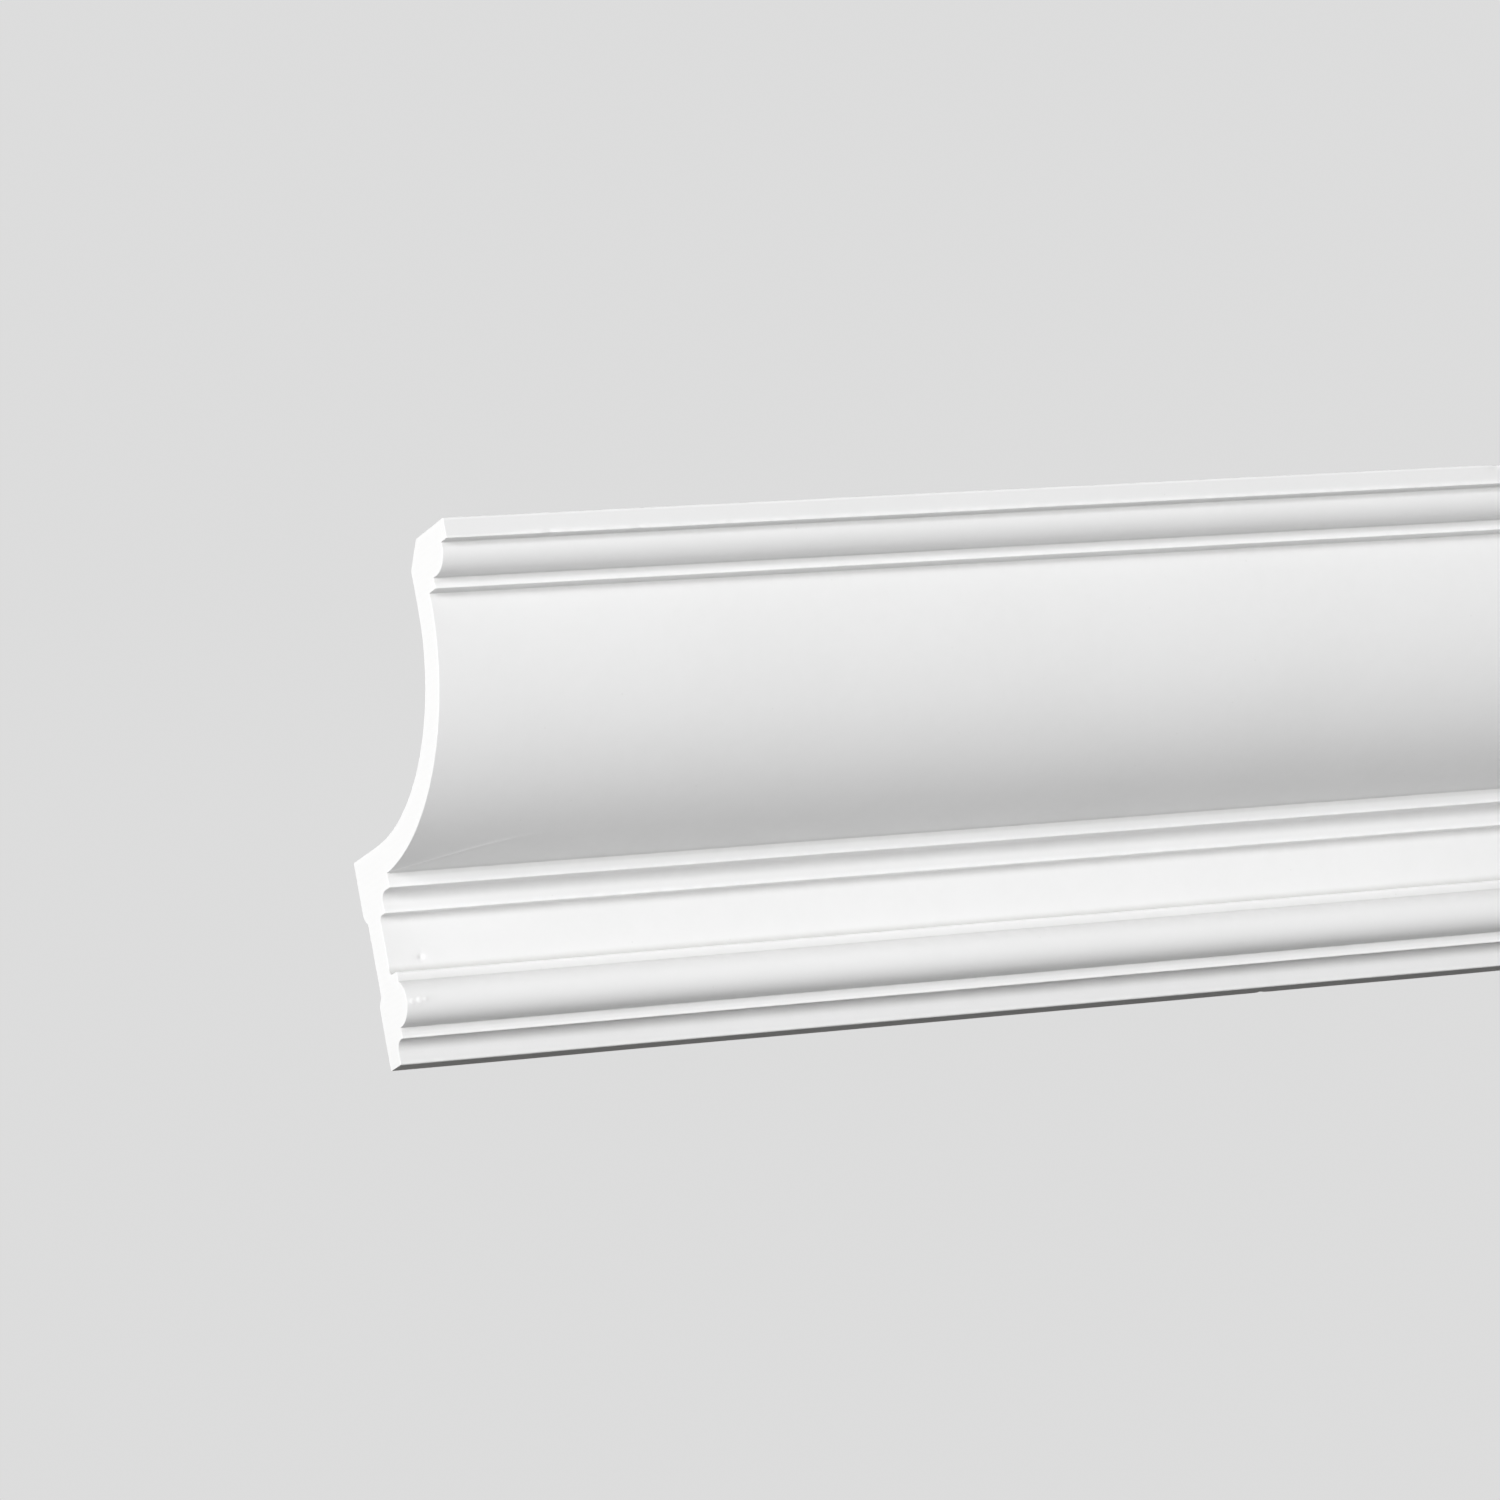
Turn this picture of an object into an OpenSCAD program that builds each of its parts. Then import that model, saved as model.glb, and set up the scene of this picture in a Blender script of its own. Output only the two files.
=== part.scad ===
// Crown moulding: one length of a moulded cornice with a hollow back, in millimetres.
// X runs along the wall, the room is on the -Y side, and Z is up.
// The wall is the plane y = 0, and the origin is there, at the foot, halfway along.
// The profile is drawn as (out from the wall, up from the foot) and then run along X.

/* [Overall] */
// Length of the moulding along the wall
length = 520; // [200:10:1000]
// Height from the foot to the ceiling
height = 180; // [150:1:216]
// How far the top lip stands out from the wall
projection = 130; // [108:1:156]

/* [Foot and bead] */
// How far the foot stands out from the wall
foot_out = 9.6; // [8:0.1:12]
// Height of the foot's straight face
foot_h = 4.8; // [3:0.1:6]
// Radius of the cove over the foot
foot_cove_r = 4.2; // [3:0.1:5]
// How far the fillet under the bead stands out
bead_fillet_out = 15.2; // [14:0.1:18]
// Height of the fillet under the bead
bead_fillet_h = 4.3; // [3:0.1:6]
// Radius of the bead
bead_r = 9.2; // [7.5:0.1:11.1]
// How far the bead's nose stands out
bead_out = 24.8; // [22:0.1:28]
// How far the step behind the bead stands out
step_out = 20.5; // [17:0.1:22]
// Height of the step above the middle of the bead
step_h = 11.7; // [11.2:0.1:15]

/* [Frieze] */
// How far the plain frieze stands out
frieze_out = 14.3; // [12:0.1:17]
// Height of the plain frieze, with the coves at its two ends
frieze_h = 23.3; // [19:0.1:28]
// Radius of the small cove at the frieze's foot
frieze_low_cove_r = 1.8; // [1:0.1:2.5]
// Radius of the small cove at the frieze's head
frieze_top_cove_r = 2.2; // [1:0.1:3]

/* [Neck] */
// How far the lip over the frieze stands out
neck_lip_out = 19.3; // [17:0.1:22]
// Height of the lip over the frieze
neck_lip_h = 3.9; // [3:0.1:5]
// Radius of the cove over that lip
neck_cove_r = 4; // [3:0.1:5]
// How far the fillet under the quarter round stands out
neck_fillet_out = 27.6; // [26:0.1:33]
// Height of the fillet under the quarter round
neck_fillet_h = 5.6; // [4:0.1:8]

/* [Crown] */
// Height of the top lip
lip_h = 8.1; // [7:0.1:10.4]
// Height of the narrow face between the top lip and the ovolo
quirk_h = 1.2; // [0.8:0.1:2]
// Radius of the ovolo under the top lip
ovolo_r = 9; // [7.5:0.1:10.8]
// How far the ovolo's nose is set back from the lip
ovolo_back = 4.8; // [3:0.1:7]
// Height of the fillet under the ovolo
crown_fillet_h = 4.2; // [3:0.1:6]
// How far that fillet is set back from the lip
crown_fillet_back = 16.7; // [14:0.1:20]
// How far the quarter round's face is set back from the lip
round_back = 22.5; // [20:0.1:27]
// Least height of the straight face above the quarter round
round_rise = 2.5; // [1:0.1:5]
// Least distance from the wall to the start of the quarter round
round_start_out = 6; // [2:0.5:15]

/* [Back] */
// Thickness of the shell behind the quarter round
shell_t = 12; // [9:0.1:15]
// Width of the bevel at the back of the ceiling flat
bevel_w = 9; // [5:0.1:11]
// Height of the bevel at the back of the ceiling flat
bevel_h = 10; // [5:0.1:12]
// Height of the lower strip that lies on the wall
low_strip_h = 25.5; // [20:0.1:31]
// Height of the upper strip that lies on the wall
top_strip_h = 22.7; // [18:0.1:28]
// Depth of the glue bed between the two strips
bed_d = 3; // [2:0.1:4]
// Height of the slope at each side of the glue bed
bed_slope_h = 3; // [2:0.1:5]

/* [Hidden] */
$fn = 96;
// heights of the members above the foot, from the bottom up
bead_fillet_z = foot_h + foot_cove_r;
bead_z = bead_fillet_z + bead_fillet_h + bead_r;
frieze_z = bead_z + step_h;
neck_lip_z = frieze_z + frieze_h;
neck_fillet_z = neck_lip_z + neck_lip_h + neck_cove_r;
round_z = neck_fillet_z + neck_fillet_h;
// heights of the crown's members, from the ceiling down
lip_z = height - lip_h;
ovolo_z = lip_z - quirk_h;
crown_fillet_z = ovolo_z - ovolo_r - crown_fillet_h;
// the quarter round takes the room that its neighbours leave, and stays a true circle
round_out = projection - round_back;
round_r = min(crown_fillet_z - round_rise - round_z, round_out - round_start_out);
centre_out = round_out - round_r;
centre_z = round_z + round_r;
hollow_r = round_r - shell_t;
hollow_out = centre_out + hollow_r;
leg_top_z = centre_z - hollow_r;

// A plain member: a block from the wall out to a face, between two heights.
module member(out, low, high) {
    translate([0, low])
        square([out, high - low]);
}

// The stuff that a cove leaves in the angle under a member: the arc is hollow, towards the room.
module cove(out, low, r) {
    translate([out, low])
        difference() {
            square(r);
            translate([r, 0])
                circle(r);
        }
}

// All that lies behind a quarter circle, back to the wall and up to the ceiling.
module behind_quarter_round(r) {
    translate([centre_out, centre_z])
        circle(r);
    member(centre_out, centre_z - r, height);
    translate([centre_out, centre_z])
        square([r, height - centre_z]);
}

// The foot, its cove, the fillet, the bead and the step behind it.
module base() {
    member(foot_out, 0, bead_fillet_z);
    cove(foot_out, foot_h, foot_cove_r);
    member(bead_fillet_out, bead_fillet_z, bead_z);
    translate([bead_out - bead_r, bead_z])
        circle(bead_r);
    member(step_out, bead_z, frieze_z);
}

// The plain frieze, with a small cove in the angle at each end.
module frieze() {
    member(frieze_out, frieze_z, centre_z);
    translate([0, 2 * frieze_z])
        mirror([0, 1])
            cove(frieze_out, frieze_z - frieze_low_cove_r, frieze_low_cove_r);
    cove(frieze_out, neck_lip_z - frieze_top_cove_r, frieze_top_cove_r);
}

// The lip, the cove and the fillet that carry the quarter round.
module neck() {
    member(neck_lip_out, neck_lip_z, neck_fillet_z);
    cove(neck_lip_out, neck_lip_z + neck_lip_h, neck_cove_r);
    member(neck_fillet_out, neck_fillet_z, centre_z);
}

// The fillet, the ovolo and the lip under the ceiling.
module crown() {
    ovolo_out = projection - ovolo_back;
    member(projection - crown_fillet_back, crown_fillet_z, height);
    member(ovolo_out - ovolo_r, ovolo_z - ovolo_r, height);
    translate([ovolo_out - ovolo_r, ovolo_z])
        circle(ovolo_r);
    member(ovolo_out, ovolo_z, height);
    member(projection, lip_z, height);
}

// The hollow behind the quarter round, open to the wall and the ceiling, with its bevelled edge.
module hollow() {
    behind_quarter_round(hollow_r);
    polygon([
        [hollow_out - 1, height - bevel_h],
        [hollow_out, height - bevel_h],
        [hollow_out + bevel_w, height],
        [hollow_out - 1, height]
    ]);
}

// The shallow bed for adhesive, between the two strips that lie on the wall.
module glue_bed() {
    bed_top_z = leg_top_z - top_strip_h;
    polygon([
        [0, low_strip_h],
        [bed_d, low_strip_h + bed_slope_h],
        [bed_d, bed_top_z - bed_slope_h],
        [0, bed_top_z]
    ]);
}

// The whole section, kept within its height and in front of the wall.
module profile() {
    intersection() {
        square([projection, height]);
        difference() {
            union() {
                base();
                frieze();
                neck();
                behind_quarter_round(round_r);
                crown();
            }
            hollow();
            glue_bed();
        }
    }
}

// One length of moulding, cut square at both ends.
module crown_moulding() {
    color("white")
        rotate([90, 0, 90])
            linear_extrude(height = length, center = true)
                mirror([1, 0])
                    profile();
}

crown_moulding();
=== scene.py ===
"""A length of crown moulding, cast in rigid foam, primed white and sawn square at both ends.

The moulding is one closed surface: its section is worked out from the sizes of its members, its
arrises are softened as a casting's are, and the section is run along X with the small unevenness,
knocks and sawn ends of the real thing. Lengths are in metres, with the wall at y = 0, the room on
the -Y side and Z up.
"""

import logging
import math
from dataclasses import dataclass
from enum import Enum
from typing import Any

import bpy
import numpy as np
from mathutils import Matrix, Vector
from mathutils.geometry import delaunay_2d_cdt


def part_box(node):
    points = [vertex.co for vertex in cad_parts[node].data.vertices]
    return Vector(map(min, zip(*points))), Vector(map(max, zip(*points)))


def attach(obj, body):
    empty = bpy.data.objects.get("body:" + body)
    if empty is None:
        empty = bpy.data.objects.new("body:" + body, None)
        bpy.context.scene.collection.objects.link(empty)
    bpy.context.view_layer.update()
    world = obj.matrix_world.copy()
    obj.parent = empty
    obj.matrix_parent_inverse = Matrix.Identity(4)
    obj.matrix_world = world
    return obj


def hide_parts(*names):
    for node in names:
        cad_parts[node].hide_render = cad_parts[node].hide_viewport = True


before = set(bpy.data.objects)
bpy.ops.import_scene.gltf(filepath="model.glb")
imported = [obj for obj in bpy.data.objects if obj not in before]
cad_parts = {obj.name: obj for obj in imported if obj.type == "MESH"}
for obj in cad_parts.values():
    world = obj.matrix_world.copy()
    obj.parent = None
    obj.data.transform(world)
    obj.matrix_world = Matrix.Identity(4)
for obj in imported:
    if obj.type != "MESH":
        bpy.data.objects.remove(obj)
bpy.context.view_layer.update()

MM = 0.001
NODE = "crown_moulding"
SPECULAR = 0.3  # how strongly the matt primer and the bare foam mirror the light
LOG = logging.getLogger(NODE)
Array = np.ndarray
Span = tuple[float, float]
Colour = tuple[float, float, float]


class Skin(Enum):
    """The three kinds of surface on the moulding, in the order of its material slots."""

    PRIMED = 0
    BACK = 1
    SAWN = 2


# ---- shader maths ----


class Value:
    """One output of a shader tree, wrapped so that maths on numbers is written in Python.

    Each operator adds a Math node to the tree and returns that node's output, wrapped.
    """

    def __init__(self, graph: "Graph", socket: bpy.types.NodeSocket) -> None:
        """Wrap an output socket of a shader tree."""
        self.graph = graph
        self.socket = socket

    def _maths(self, operation: str, *operands: Any) -> "Value":
        """Add a Math node that reads Values or plain numbers, and return its output."""
        settings = {"operation": operation}
        return self.graph.node("ShaderNodeMath", settings, dict(enumerate(operands)))

    def __add__(self, other: Any) -> "Value":
        """Add."""
        return self._maths("ADD", self, other)

    __radd__ = __add__

    def __sub__(self, other: Any) -> "Value":
        """Subtract."""
        return self._maths("SUBTRACT", self, other)

    def __rsub__(self, other: Any) -> "Value":
        """Subtract from a plain number."""
        return self._maths("SUBTRACT", other, self)

    def __mul__(self, other: Any) -> "Value":
        """Multiply."""
        return self._maths("MULTIPLY", self, other)

    __rmul__ = __mul__

    def __rpow__(self, other: Any) -> "Value":
        """Raise a plain number to this power."""
        return self._maths("POWER", other, self)

    def between(self, low: float, high: float) -> "Value":
        """Ease from 0 to 1 while the value goes from low to high, and stay there outside."""
        settings = {"interpolation_type": "SMOOTHSTEP"}
        return self.graph.node("ShaderNodeMapRange", settings, {0: self, 1: low, 2: high})


class Graph:
    """The shader tree of a material or a world, with one method that adds any node."""

    def __init__(self, owner: bpy.types.Material | bpy.types.World) -> None:
        """Empty the owner's tree.

        Args:
            owner: The material or world.
        """
        self.owner = owner
        owner.use_nodes = True
        self.tree = owner.node_tree
        self.tree.nodes.clear()

    def node(
        self,
        kind: str,
        settings: dict[str, Any] | None = None,
        sockets: dict[Any, Any] | None = None,
        output: int | str = 0,
    ) -> Value:
        """Add a node, set it up and feed its inputs.

        Args:
            kind: The node's type.
            settings: Properties of the node, set before its inputs.
            sockets: Each input's name or number, with its value or the Value linked to it.
            output: The name or number of the output that is returned.

        Returns:
            The chosen output.
        """
        made = self.tree.nodes.new(kind)
        for name, setting in (settings or {}).items():
            setattr(made, name, setting)
        for name, content in (sockets or {}).items():
            if isinstance(content, Value):
                self.tree.links.new(content.socket, made.inputs[name])
            else:
                made.inputs[name].default_value = content
        return Value(self, made.outputs[output] if made.outputs else None)

    def place(self) -> Value:
        """Return the point on the piece, in Object coordinates."""
        return self.node("ShaderNodeTexCoord", output="Object")

    def axis(self, place: Value, name: str) -> Value:
        """Return one of a place's three coordinates, "X", "Y" or "Z"."""
        return self.node("ShaderNodeSeparateXYZ", None, {0: place}, name)

    def measure(self, name: str) -> Value:
        """Return one of the mesh's own measures, an attribute by that name."""
        settings = {"attribute_type": "GEOMETRY", "attribute_name": name}
        return self.node("ShaderNodeAttribute", settings, output="Fac")

    def noise(self, place: Value, size: float, detail: float = 3.0, rough: float = 0.5) -> Value:
        """Cloudy noise from 0 to 1, its clouds as broad as the size, with finer layers in them."""
        sockets = {"Vector": place, "Scale": 1.0 / size, "Detail": detail, "Roughness": rough}
        return self.node("ShaderNodeTexNoise", None, sockets, "Fac")

    def cells(self, place: Value, size: float) -> Value:
        """Distance to the middle of the nearest cell, as a share of a cell's size."""
        sockets = {"Vector": place, "Scale": 1.0 / size}
        return self.node("ShaderNodeTexVoronoi", {"feature": "F1"}, sockets, "Distance")

    def stretch(self, place: Value, scale: tuple[float, float, float]) -> Value:
        """Scale the place along each axis, so that a pattern read there is drawn out."""
        return self.node("ShaderNodeVectorMath", {"operation": "MULTIPLY"}, {0: place, 1: scale})

    def mix(self, share: Value | float, first: Any, second: Any) -> Value:
        """Mix two colours, with a share of the second from 0 to 1."""
        first, second = (c if isinstance(c, Value) else (*c, 1.0) for c in (first, second))
        return self.node("ShaderNodeMix", {"data_type": "RGBA"}, {0: share, 6: first, 7: second}, 2)

    def relief(self, height: Value, depth: float) -> Value:
        """Turn a height from 0 to 1 into a bumped normal, a full step being so many metres deep."""
        sockets = {"Strength": 1.0, "Distance": depth, "Height": height}
        return self.node("ShaderNodeBump", None, sockets)

    def surface(self, **sockets: Any) -> bpy.types.Material:
        """Finish the material with a Principled shader.

        Args:
            sockets: The shader's inputs, with underscores for the spaces in their names.

        Returns:
            The material.
        """
        named = {name.replace("_", " "): content for name, content in sockets.items()}
        shader = self.node("ShaderNodeBsdfPrincipled", None, named, "BSDF")
        self.node("ShaderNodeOutputMaterial", None, {"Surface": shader})
        return self.owner


@dataclass(frozen=True)
class Corner:
    """A point on the moulding: how far along X, out from the wall and up."""

    along: float
    out: float
    up: float


@dataclass(frozen=True)
class Primer:
    """Matt white factory primer, sprayed on the face that shows.

    Its tone drifts a little from cloud to cloud. Painted shade greys the coves, the upward-facing
    ledges and the pinholes, and draws a dark line in the sharp corners and at the frieze's foot. A
    painted highlight lightens the arrises, the drips on the bead, a crease low on the quarter round
    and a run of paint along the lip; the crease and the run also stand up as bumps. The sprayed
    film has a fine orange-peel texture over the streaks that a long mould leaves.
    """

    white: Colour = (0.905, 0.905, 0.905)
    thin: Colour = (0.89, 0.89, 0.889)
    # Grey of the painted shade in the coves, corners, ledges, pinholes and at the frieze's foot.
    painted_shade: Colour = (0.70, 0.70, 0.69)
    # Near-white of the painted highlight on the arrises, the bead's drips, the crease and the lip's
    # run.
    painted_highlight: Colour = (0.985, 0.985, 0.985)
    roughness: float = 0.6
    cloud_size: float = 70 * MM
    mottle_size: float = 6 * MM
    peel_size: float = 1.1 * MM
    peel_depth: float = 0.02 * MM
    pinhole_pitch: float = 11 * MM
    streak_size: float = 2.2 * MM
    run_size: float = 3.5 * MM
    run_depth: float = 0.2 * MM
    crease_width: float = 1.0 * MM
    crease_depth: float = 0.24 * MM
    crease_lean: float = 0.70
    crease_bend: float = 5.0
    crease_top: Span = (10 * MM, 14 * MM)
    crease_fade: Span = (25 * MM, 62 * MM)
    # Shares of painted shade: in the coves, in the sharp corners, on the upward-facing ledges and
    # at the frieze's foot.
    cove_shade: float = 0.15
    corner_shade: float = 0.3
    ledge_shade: float = 0.15
    foot_shade: float = 0.75

    def crease(self, g: Graph, corner: Corner) -> Value:
        """Find the faint mark of a fold in the mould's lining, low on the quarter round.

        It leaves the corner at the left end and climbs the round in a curve: its distance out is
        the corner's, plus the lean times the way along, less the bend times that way squared. The
        mark is a narrow bell curve of the distance from that line, and fades in a few centimetres.
        It is drawn as a shallow ridge, and the primer also paints it lighter as a painted
        highlight.

        Args:
            g: The material's graph.
            corner: Where the line starts.

        Returns:
            The mark, from 0 to 1.
        """
        place = g.place()
        along = g.axis(place, "X") - corner.along
        out = -1.0 * g.axis(place, "Y")
        line = corner.out + self.crease_lean * along - self.crease_bend * along * along
        gap = (out - line) * (1.0 / self.crease_width)
        low = 1.0 - g.axis(place, "Z").between(*(corner.up + rise for rise in self.crease_top))
        on_round = g.axis(place, "Z").between(corner.up - 1 * MM, corner.up) * low
        return math.e ** (-1.0 * gap * gap) * on_round * (1.0 - along.between(*self.crease_fade))

    def material(self, corner: Corner) -> bpy.types.Material:
        """Build the material.

        Args:
            corner: Where the crease starts.

        Returns:
            The material.
        """
        g = Graph(bpy.data.materials.new("primed_white"))
        place = g.place()
        nook = g.measure("nook")
        # Arrises get the painted highlight below; they also keep pinholes off and are a little
        # glossier.
        arris = g.measure("arris").between(0.3, 0.9)
        cloud = g.noise(place, self.cloud_size, 4.0, 0.55)
        mottle = g.noise(place, self.mottle_size, 3.0, 0.6)
        peel = g.noise(place, self.peel_size, 2.0, 0.5)
        pinhole = (1.0 - g.cells(place, self.pinhole_pitch).between(0.02, 0.04)) * (1.0 - arris)
        streak = g.noise(g.stretch(place, (0.05, 1.0, 1.0)), self.streak_size, 2.0, 0.5)
        # The lip's run is both a bump and a painted highlight.
        run = g.measure("run_and_highlight")
        lump = g.noise(g.stretch(place, (0.45, 0.3, 0.3)), self.run_size, 2.0, 0.5)
        lump = run * lump.between(0.35, 0.65)
        crease = self.crease(g, corner)
        thin_film = (0.65 * cloud + 0.35 * mottle).between(0.36, 0.68)
        # Painted shade: coves and sharp corners, the upward-facing ledges and the frieze's foot are
        # greyed where shade falls on them.
        shade_share = self.cove_shade * nook * (0.35 + 0.65 * mottle.between(0.3, 0.7))
        shade_share = shade_share + nook.between(0.15, 0.5) * (self.corner_shade + 0.14 * mottle)
        ledge = g.measure("ledge").between(0.1, 0.75)
        shade_share = shade_share + ledge * (self.ledge_shade + 0.25 * mottle)
        shade_share = shade_share + g.measure("frieze_foot") * (self.foot_shade + 0.25 * mottle)
        base = g.mix(thin_film, self.white, self.thin)
        # Mix in the painted shade; the pinholes are darkened with it, as shade inside them.
        base = g.mix(shade_share + 0.3 * pinhole, base, self.painted_shade)
        # Painted highlight: the arrises, the drips, the crease and the lip's run are drawn lighter.
        highlight_share = arris * (0.5 + 0.6 * mottle.between(0.35, 0.65)) + 0.95 * crease + run
        base = g.mix(highlight_share, base, self.painted_highlight)
        rough = self.roughness + 0.12 * (cloud - 0.5) + 0.1 * (mottle - 0.5) - 0.1 * arris
        height = 0.7 * peel + 0.25 * mottle + 0.9 * streak - 0.8 * pinhole
        height = height + self.crease_depth / self.peel_depth * crease
        height = height + self.run_depth / self.peel_depth * lump
        return g.surface(
            Base_Color=base,
            Roughness=rough,
            Normal=g.relief(height, self.peel_depth),
            Specular_IOR_Level=SPECULAR,
        )


@dataclass(frozen=True)
class BareBack:
    """The bare back as it left the mould: creamy foam skin with flow marks and pinholes."""

    skin: Colour = (0.82, 0.808, 0.775)
    pale: Colour = (0.855, 0.848, 0.826)
    pore: Colour = (0.60, 0.575, 0.52)
    overspray: Colour = (0.87, 0.87, 0.865)
    roughness: float = 0.68
    flow_size: float = 45 * MM
    grain_size: float = 1.6 * MM
    pore_size: float = 5.5 * MM
    pore_patch_size: float = 30 * MM
    relief_depth: float = 0.12 * MM

    def material(self) -> bpy.types.Material:
        """Build the material.

        Returns:
            The material.
        """
        g = Graph(bpy.data.materials.new("bare_foam_back"))
        place = g.place()
        drawn = g.stretch(place, (0.35, 1.0, 1.0))
        flow = g.noise(drawn, self.flow_size, 5.0, 0.6)
        grain = g.noise(place, self.grain_size, 3.0, 0.6)
        patch = g.noise(place, self.pore_patch_size, 2.0, 0.5).between(0.47, 0.6)
        pore = (1.0 - g.cells(place, self.pore_size).between(0.05, 0.13)) * patch
        spray = g.measure("spray") * (0.55 + 0.9 * (grain - 0.5))
        base = g.mix(flow.between(0.35, 0.65), self.skin, self.pale)
        base = g.mix(0.25 * (grain - 0.3), base, self.pore)
        base = g.mix(spray, base, self.overspray)
        base = g.mix(0.7 * pore, base, self.pore)
        rough = self.roughness + 0.18 * (flow - 0.5) + 0.1 * (grain - 0.5)
        height = 0.5 * flow + 0.2 * grain - 0.8 * pore
        return g.surface(
            Base_Color=base,
            Roughness=rough,
            Normal=g.relief(height, self.relief_depth),
            Specular_IOR_Level=SPECULAR,
        )


@dataclass(frozen=True)
class SawnFoam:
    """A sawn end: fine closed cells, a denser skin at the rim and the faint sweep of the saw."""

    heart: Colour = (0.862, 0.862, 0.859)
    rim: Colour = (0.877, 0.877, 0.875)
    cell_shade: Colour = (0.775, 0.775, 0.76)
    roughness: float = 0.8
    cell_size: float = 0.55 * MM
    drift_size: float = 14 * MM
    saw_pitch: float = 2.6 * MM
    relief_depth: float = 0.07 * MM

    def material(self) -> bpy.types.Material:
        """Build the material.

        Returns:
            The material.
        """
        g = Graph(bpy.data.materials.new("sawn_foam"))
        place = g.place()
        rim = g.measure("rim")
        cell = g.cells(place, self.cell_size)
        drift = g.noise(place, self.drift_size, 3.0, 0.5)
        open_cell = (1.0 - cell.between(0.12, 0.34)) * drift.between(0.35, 0.7) * (1.0 - rim)
        slant = g.stretch(place, (0.0, 0.55, 1.0))
        wave = g.node(
            "ShaderNodeTexWave",
            {"wave_type": "BANDS", "bands_direction": "Z"},
            {"Vector": slant, "Scale": 0.32 / self.saw_pitch, "Distortion": 1.2, "Detail": 2.0},
            "Fac",
        )
        base = g.mix(rim, self.heart, self.rim)
        base = g.mix(0.4 * open_cell + 0.05 * wave, base, self.cell_shade)
        height = 0.5 * drift + 0.15 * wave - 0.5 * open_cell
        return g.surface(
            Base_Color=base,
            Roughness=self.roughness + 0.1 * (drift - 0.5) - 0.12 * rim,
            Normal=g.relief(height, self.relief_depth),
            Specular_IOR_Level=SPECULAR,
        )


# ---- the section ----


class Outline:
    """A closed line in the plane of the section, built member by member."""

    ARC_STEP = 0.05 * MM

    def __init__(self) -> None:
        """Start with no points."""
        self.points: list[Array] = []
        self.marks: dict[str, Array] = {}

    def to(self, out: float, up: float, mark: str | None = None) -> None:
        """Go straight to a point.

        Args:
            out: Distance out from the wall.
            up: Height above the foot.
            mark: A name to find the point by.
        """
        self.points.append(np.array([[out, up]]))
        if mark:
            self.marks[mark] = self.points[-1][0]

    def arc(self, out: float, up: float, radius: float, start: float, end: float) -> None:
        """Go round an arc: centre plus radius times (cosine, sine) of an angle that runs evenly.

        Args:
            out: The centre's distance out from the wall.
            up: The centre's height.
            radius: The radius.
            start: The angle at the start in degrees, 0 pointing out and 90 up.
            end: The angle at the end.
        """
        steps = max(8, int(radius * math.radians(abs(end - start)) / self.ARC_STEP))
        turn = np.radians(np.linspace(start, end, steps))
        self.points.append(np.array([out, up]) + radius * np.stack([np.cos(turn), np.sin(turn)], 1))

    def even(self, count: int) -> tuple[Array, float]:
        """Sample the closed line at even distances along it.

        Args:
            count: How many samples.

        Returns:
            The samples and the line's whole length.
        """
        corners = np.concatenate(self.points)
        closed = np.concatenate([corners, corners[:1]])
        run = np.concatenate([[0.0], np.cumsum(np.hypot(*np.diff(closed, axis=0).T))])
        at = np.linspace(0.0, run[-1], count, endpoint=False)
        return np.stack([np.interp(at, run, closed[:, i]) for i in (0, 1)], 1), float(run[-1])


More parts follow.
